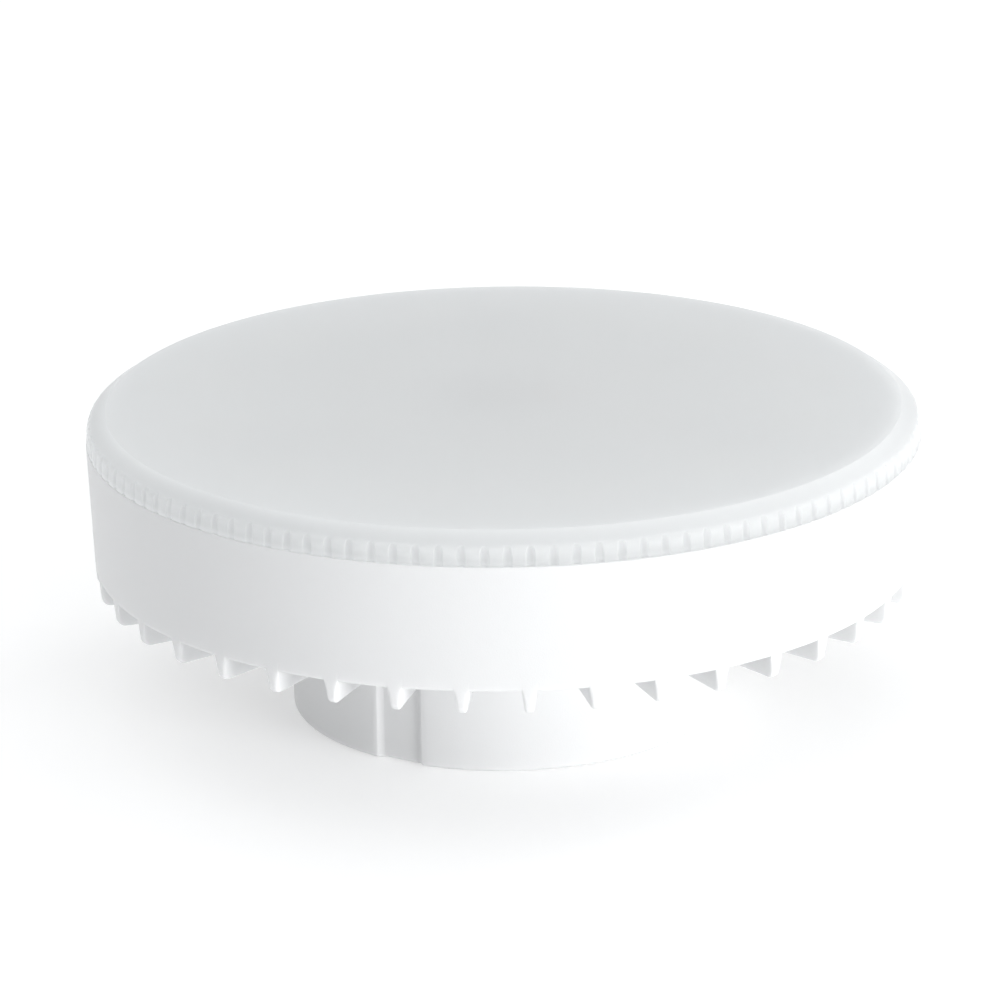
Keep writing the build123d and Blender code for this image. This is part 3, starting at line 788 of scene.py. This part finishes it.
# %% A helper for finishes
def make_finish(name, color, vary, roughness, rough_vary, grain, bump, stretch=(1, 1, 1)):
    """A finish with uneven colour and roughness and a fine grain, in the part's own space."""
    material = bpy.data.materials.new(name)
    material.use_nodes = True
    tree = material.node_tree
    shader = tree.nodes["Principled BSDF"]
    place = tree.nodes.new("ShaderNodeTexCoord")
    pulled = tree.nodes.new("ShaderNodeMapping")
    pulled.inputs["Scale"].default_value = stretch
    tree.links.new(place.outputs["Object"], pulled.inputs["Vector"])
    cloud = tree.nodes.new("ShaderNodeTexNoise")
    cloud.inputs["Scale"].default_value = grain[0]
    cloud.inputs["Detail"].default_value = 3
    tree.links.new(pulled.outputs["Vector"], cloud.inputs["Vector"])
    tint = tree.nodes.new("ShaderNodeMix")
    tint.data_type = "RGBA"
    tint.inputs[6].default_value = (*[c * (1 - vary) for c in color], 1)
    tint.inputs[7].default_value = (*[min(1, c * (1 + vary)) for c in color], 1)
    tree.links.new(cloud.outputs["Fac"], tint.inputs["Factor"])
    tree.links.new(tint.outputs[2], shader.inputs["Base Color"])
    sheen = tree.nodes.new("ShaderNodeMapRange")
    sheen.inputs["To Min"].default_value = roughness - rough_vary
    sheen.inputs["To Max"].default_value = roughness + rough_vary
    tree.links.new(cloud.outputs["Fac"], sheen.inputs["Value"])
    tree.links.new(sheen.outputs["Result"], shader.inputs["Roughness"])
    skin = tree.nodes.new("ShaderNodeTexNoise")
    skin.inputs["Scale"].default_value = grain[1]
    skin.inputs["Detail"].default_value = 2
    tree.links.new(pulled.outputs["Vector"], skin.inputs["Vector"])
    relief = tree.nodes.new("ShaderNodeBump")
    relief.inputs["Strength"].default_value = bump
    relief.inputs["Distance"].default_value = 0.00005
    tree.links.new(skin.outputs["Fac"], relief.inputs["Height"])
    tree.links.new(relief.outputs["Normal"], shader.inputs["Normal"])
    return material, shader


# %% [markdown]
# ### The two outer mouldings
#
# The housing is a filled white plastic that lets light in less than a millimetre deep, and the opal
# cover lets it in much deeper. Both could be plain white with a gloss, but they would look like
# glazed clay. With the light allowed to wander below the surface, the edges go soft as plastic does.

# %% White housing and opal cover
HOUSING_WHITE = (0.745, 0.75, 0.755)
OPAL_WHITE = (0.55, 0.561, 0.565)


def let_light_in(shader, weight, depth):
    """Let light wander below a surface, with a depth in metres, alike in all colours."""
    shader.inputs["Subsurface Weight"].default_value = weight
    shader.inputs["Subsurface Radius"].default_value = (1.0, 1.0, 1.0)
    shader.inputs["Subsurface Scale"].default_value = depth


white, white_shader = make_finish(
    "white_satin_moulding", HOUSING_WHITE, 0.01, 0.42, 0.05, (60, 9000), 0.25
)
let_light_in(white_shader, 0.8, 0.0007)
housing.data.materials.clear()
housing.data.materials.append(white)

opal, opal_shader = make_finish("opal_silky_moulding", OPAL_WHITE, 0.008, 0.44, 0.04, (40, 7000), 0.2)
opal_shader.inputs["Specular IOR Level"].default_value = 0.28
let_light_in(opal_shader, 1.0, 0.008)
# Colour of the painted light: the cover glows a little though it is no lamp, set further down.
opal_shader.inputs["Emission Color"].default_value = (0.97, 0.99, 1.0, 1)
cover.data.materials.append(opal)
print("outer finishes:", white.name, opal.name)

# %% [markdown]
# ### Painted light in the opal cover
#
# Light that enters an opal moulding wanders for some millimetres and comes out somewhere else. The
# shader does that by itself, but it misses light that comes up from inside the lamp. The next cells
# add painted light and shade instead, with smooth changes by radius and by height, which need no
# extra samples. An image painted for the cover would do the same, but it would have to be painted
# again for every change of shape.


# %% Radius and height as numbers for the finish
def ramp(tree, value, start, end):
    """A number that changes smoothly between two (place, number) pairs."""
    change = tree.nodes.new("ShaderNodeMapRange")
    change.interpolation_type = "SMOOTHSTEP"
    tree.links.new(value, change.inputs["Value"])
    for socket, number in zip(("From Min", "To Min", "From Max", "To Max"), (*start, *end)):
        change.inputs[socket].default_value = number
    return change.outputs["Result"]


def vector_step(tree, operation, first, second=None, scale=None):
    """One step of vector arithmetic on sockets or plain vectors."""
    step = tree.nodes.new("ShaderNodeVectorMath")
    step.operation = operation
    for socket, source in ((0, first), (1, second), ("Scale", scale)):
        if isinstance(source, bpy.types.NodeSocket):
            tree.links.new(source, step.inputs[socket])
        elif source is not None:
            step.inputs[socket].default_value = source
    return step.outputs["Value" if operation in ("LENGTH", "DOT_PRODUCT") else "Vector"]


opal_tree = opal.node_tree
opal_place = opal_tree.nodes.new("ShaderNodeTexCoord").outputs["Object"]
opal_level = vector_step(opal_tree, "MULTIPLY", opal_place, (1, 1, 0))
opal_radius = vector_step(opal_tree, "LENGTH", opal_level)
opal_height = vector_step(opal_tree, "DOT_PRODUCT", opal_place, (0, 0, 1))
print("the opal finish knows its radius and height")

# %% [markdown]
# The cover is given painted light: it glows a little, though it is no lamp, in place of light that
# entered it elsewhere, and its grey base colour and this glow together make its white. The painted
# glow is slightly stronger at the edge, where the moulding turns down, and just above the foot,
# where it paints out the shade of the seam next to the white rim. Without the second part, the seam
# would be a dark line, which the real lamp doesn't show in front.

# %% Painted glow of the cover, its edge and its foot
# Painted light: emission strengths in the middle, at the edge and just above the seam.
middle_painted_glow, outer_painted_glow, seam_painted_light = 0.185, 0.208, 0.10
rim_reach = 0.6
edge_painted_glow = ramp(opal_tree, opal_radius, (16 * MM, middle_painted_glow), (36 * MM, outer_painted_glow))
above_seam = (seam_height + rim_reach) * MM
foot_painted_light = ramp(opal_tree, opal_height, (seam_height * MM, seam_painted_light), (above_seam, 0.0))
whole_painted_glow = math_step(opal_tree, "ADD", edge_painted_glow, foot_painted_light)
opal_tree.links.new(whole_painted_glow, opal_shader.inputs["Emission Strength"])
print("glow from the middle out:", middle_painted_glow, outer_painted_glow, "and at the foot:", seam_painted_light)

# %% [markdown]
# The band's colour is made darker toward the outside: painted shade that tones down the strong low
# side light on the upright band, in place of light that passes through the thin band and is lost
# inside. The wandering light also evens out the flutes. Bending the surface's facing back toward the
# plain round band has the same effect: the part of it that points round the lamp is taken away for
# the most part, and the flutes keep their form but lose their hard shading.

# %% Painted shade on the band and softened flutes
flute_softness = 0.85
# Painted shade: the band's colour darkens toward the outside, where the side light falls strongest.
band_painted_shade = ramp(opal_tree, opal_radius, (35.3 * MM, 1.0), (37.1 * MM, 0.84))
full_color = opal_shader.inputs["Base Color"].links[0].from_socket
band_color_with_painted_shade = vector_step(opal_tree, "SCALE", full_color, scale=band_painted_shade)
opal_tree.links.new(band_color_with_painted_shade, opal_shader.inputs["Base Color"])

round_way = opal_tree.nodes.new("ShaderNodeTangent")
round_way.direction_type = "RADIAL"
round_way.axis = "Z"
around = round_way.outputs["Tangent"]
facing = opal_tree.nodes.new("ShaderNodeNewGeometry").outputs["Normal"]
sideways_share = vector_step(opal_tree, "DOT_PRODUCT", facing, around)
sideways = vector_step(opal_tree, "SCALE", around, scale=sideways_share)
taken_away = vector_step(opal_tree, "SCALE", sideways, scale=flute_softness)
softened = vector_step(opal_tree, "SUBTRACT", facing, taken_away)
opal_relief = opal_shader.inputs["Normal"].links[0].from_node
opal_tree.links.new(vector_step(opal_tree, "NORMALIZE", softened), opal_relief.inputs["Normal"])
print("opal finish has", len(opal_tree.nodes), "nodes")

# %% [markdown]
# ## Finishes of the parts inside
#
# The parts inside keep their solid meshes and only change their finish. Many of them are of two
# materials, such as a black moulded body on tinned legs. Cutting them into pieces would double the
# parts list, so a finish can have a second zone instead, chosen by where a point lies or which way
# its surface faces.

# %% Helpers for zones and for dressing the solid parts
TIN = ((0.62, 0.62, 0.60), 0.32, 1.0)
ALUMINIUM = ((0.72, 0.73, 0.74), 0.34, 1.0)


def zone_between(material, source, axis, low, high):
    """A mask that is one where a point's place or facing along an axis lies between two values."""
    tree = material.node_tree
    geometry = tree.nodes.new("ShaderNodeNewGeometry")
    parts = tree.nodes.new("ShaderNodeSeparateXYZ")
    tree.links.new(geometry.outputs[source], parts.inputs["Vector"])
    above = math_step(tree, "GREATER_THAN", parts.outputs[axis], low)
    below = math_step(tree, "LESS_THAN", parts.outputs[axis], high)
    return math_step(tree, "MULTIPLY", above, below)


def paint_zone(material, mask, look):
    """Give the masked zone of a finish another colour, roughness and metalness."""
    tree = material.node_tree
    shader = tree.nodes["Principled BSDF"]
    color, roughness, metallic = look
    paint = tree.nodes.new("ShaderNodeMix")
    paint.data_type = "RGBA"
    paint.inputs[7].default_value = (*color, 1)
    tree.links.new(shader.inputs["Base Color"].links[0].from_socket, paint.inputs[6])
    tree.links.new(mask, paint.inputs["Factor"])
    tree.links.new(paint.outputs[2], shader.inputs["Base Color"])
    gloss = tree.nodes.new("ShaderNodeMix")
    gloss.inputs[3].default_value = roughness
    tree.links.new(shader.inputs["Roughness"].links[0].from_socket, gloss.inputs[2])
    tree.links.new(mask, gloss.inputs["Factor"])
    tree.links.new(gloss.outputs[0], shader.inputs["Roughness"])
    metal = tree.nodes.new("ShaderNodeMix")
    metal.inputs[2].default_value = shader.inputs["Metallic"].default_value
    metal.inputs[3].default_value = metallic
    tree.links.new(mask, metal.inputs["Factor"])
    tree.links.new(metal.outputs[0], shader.inputs["Metallic"])


slot_of = {part["node"]: part["material_slot"] for part in frame["record"]["subparts"]}


def dress(slot_name, finish, metallic=0.0):
    """Put a finish on every solid part of a material slot."""
    material, shader = finish
    shader.inputs["Metallic"].default_value = metallic
    dressed = [name for name, slot in slot_of.items() if slot == slot_name]
    for name in dressed:
        nodes[name].material_slots[0].material = material
    print(material.name, "on", len(dressed), "parts")
    return material


# %% [markdown]
# ### Metal parts
#
# The contact pins are turned from brass and plated with nickel, so fine rings run round them. The
# tags are stamped from brass, the heat spreader is pressed from rolled aluminium sheet, and the
# screws are zinc-plated steel.

# %% Pins, tags, spreader and screws
turned = (0.06, 0.06, 1)
rolled = (1, 0.05, 1)
dress(
    "pin_nickel",
    make_finish("turned_nickel", (0.66, 0.65, 0.62), 0.04, 0.26, 0.07, (2500, 9000), 0.3, turned),
    1.0,
)
dress(
    "tag_brass",
    make_finish("stamped_brass", (0.72, 0.55, 0.27), 0.06, 0.34, 0.08, (400, 6000), 0.3, rolled),
    1.0,
)
dress(
    "spreader_aluminium",
    make_finish("rolled_aluminium", ALUMINIUM[0], 0.04, 0.36, 0.08, (900, 5000), 0.35, rolled),
    1.0,
)
dress(
    "screw_steel",
    make_finish("zinc_plated_steel", (0.60, 0.61, 0.64), 0.05, 0.30, 0.07, (700, 6000), 0.2),
    1.0,
)

# %% [markdown]
# ### Boards and light emitters
#
# The light board is aluminium with a white lacquer on top, so its edge and underside are bare metal.
# The driver board is green on both faces and shows its glass fibre at the edge. Each light emitter is
# a white package with a round pocket, and the floor of the pocket is filled with yellow phosphor.

# %% Boards and emitters
board_white = dress(
    "light_board_white",
    make_finish("white_board_lacquer", (0.82, 0.82, 0.80), 0.02, 0.33, 0.05, (300, 5000), 0.15),
)
paint_zone(board_white, zone_between(board_white, "Normal", "Z", -2.0, 0.5), ALUMINIUM)
board_green = dress(
    "driver_board_green",
    make_finish("green_board_lacquer", (0.05, 0.22, 0.10), 0.12, 0.30, 0.06, (500, 3000), 0.25),
)
FIBRE = ((0.50, 0.46, 0.24), 0.6, 0.0)
paint_zone(board_green, zone_between(board_green, "Normal", "Z", -0.5, 0.5), FIBRE)
emitter = dress(
    "emitter_package",
    make_finish("white_emitter_package", (0.84, 0.84, 0.81), 0.02, 0.38, 0.05, (800, 6000), 0.1),
)
emitter_top = box_mm("led_01")[1].z
PHOSPHOR = ((0.86, 0.62, 0.10), 0.5, 0.0)
pocket = zone_between(emitter, "Position", "Z", (emitter_top - 0.2) * MM, (emitter_top - 0.1) * MM)
facing_up = zone_between(emitter, "Normal", "Z", 0.5, 2.0)
pocket_floor = math_step(emitter.node_tree, "MULTIPLY", pocket, facing_up)
paint_zone(emitter, pocket_floor, PHOSPHOR)

# %% [markdown]
# ### Components of the driver
#
# Their bodies stand on the driver board and their tinned leads pass down through it, so everything
# below a component's foot is tin. The can of the bulk capacitor shows bare aluminium on top, where
# its sleeve ends. The coil's turns are drawn by a fine wave along its height.

# %% Components
board_face = box_mm("driver_board")[1].z
can_top = box_mm("bulk_capacitor")[1].z
sleeve = dress(
    "capacitor_sleeve",
    make_finish("capacitor_sleeve", (0.035, 0.04, 0.06), 0.15, 0.28, 0.06, (300, 2500), 0.2),
)
paint_zone(sleeve, zone_between(sleeve, "Position", "Z", (can_top - 0.05) * MM, 1.0), ALUMINIUM)
film = dress(
    "film_capacitor_yellow",
    make_finish("film_capacitor_case", (0.78, 0.55, 0.06), 0.06, 0.42, 0.07, (350, 4000), 0.25),
)
ferrite = dress(
    "ferrite_grey",
    make_finish("ferrite", (0.075, 0.075, 0.08), 0.15, 0.55, 0.1, (900, 8000), 0.6),
)
epoxy = dress(
    "epoxy_black",
    make_finish("black_epoxy", (0.02, 0.02, 0.022), 0.2, 0.45, 0.08, (700, 9000), 0.4),
)
for body in (sleeve, film, ferrite):
    paint_zone(body, zone_between(body, "Position", "Z", -1.0, (board_face - 0.01) * MM), TIN)
paint_zone(epoxy, zone_between(epoxy, "Position", "Z", -1.0, (board_face + 0.2) * MM), TIN)

turns_scale = 1050
winding_finish = make_finish("enamelled_copper", (0.58, 0.24, 0.09), 0.08, 0.24, 0.05, (900, 5000), 0.2)
copper = dress("winding_copper", winding_finish, 1.0)
turns = copper.node_tree.nodes.new("ShaderNodeTexWave")
turns.bands_direction = "Z"
turns.inputs["Scale"].default_value = turns_scale
turn_place = copper.node_tree.nodes.new("ShaderNodeTexCoord")
turn_relief = copper.node_tree.nodes.new("ShaderNodeBump")
turn_relief.inputs["Distance"].default_value = 0.00008
copper.node_tree.links.new(turn_place.outputs["Object"], turns.inputs["Vector"])
copper.node_tree.links.new(turns.outputs["Fac"], turn_relief.inputs["Height"])
copper.node_tree.links.new(turn_relief.outputs["Normal"], winding_finish[1].inputs["Normal"])

# %% [markdown]
# ### Resistors and leads
#
# The fusible resistor is dipped in lacquer and the chip resistors have tinned ends. Both are told
# apart along their length. The leads have a plain soft insulation in white, red and black.

# %% Resistors and leads
fuse_low, fuse_high = box_mm("fusible_resistor")
fuse_middle = (fuse_low.x + fuse_high.x) / 2
lacquer = dress(
    "resistor_lacquer",
    make_finish("resistor_lacquer", (0.10, 0.22, 0.20), 0.08, 0.34, 0.06, (500, 3000), 0.35),
)
chip_low, chip_high = box_mm("sense_resistor_1")
chip_middle = (chip_low.x + chip_high.x) / 2
film_chip = dress(
    "resistor_film",
    make_finish("chip_resistor", (0.03, 0.03, 0.03), 0.1, 0.4, 0.05, (900, 6000), 0.2),
)
for body, middle, reach in ((lacquer, fuse_middle, 3.26), (film_chip, chip_middle, 1.19)):
    paint_zone(body, zone_between(body, "Position", "X", -1.0, (middle - reach) * MM), TIN)
    paint_zone(body, zone_between(body, "Position", "X", (middle + reach) * MM, 1.0), TIN)
LEADS = {
    "lead_white": ("white_insulation", (0.74, 0.74, 0.72), 0.03, 0.45),
    "lead_red": ("red_insulation", (0.55, 0.03, 0.025), 0.06, 0.42),
    "lead_black": ("black_insulation", (0.02, 0.02, 0.02), 0.15, 0.42),
}
for slot_name, (name, color, vary, roughness) in LEADS.items():
    dress(slot_name, make_finish(name, color, vary, roughness, 0.06, (300, 4000), 0.2))

# %% [markdown]
# ## Print the sizes
#
# Both boxes, the solids' and the dressed lamp's, are printed in millimetres. The dressed
# lamp may not grow out of its solids.

# %% Print both boxes
dressed_low, dressed_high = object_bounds()
sizes = {
    "cad": [list(cad_low), list(cad_high)],
    "visual": [list(dressed_low), list(dressed_high)],
}
for name, corners in sizes.items():
    print(name, [[round(v / MM, 2) for v in corner] for corner in corners])
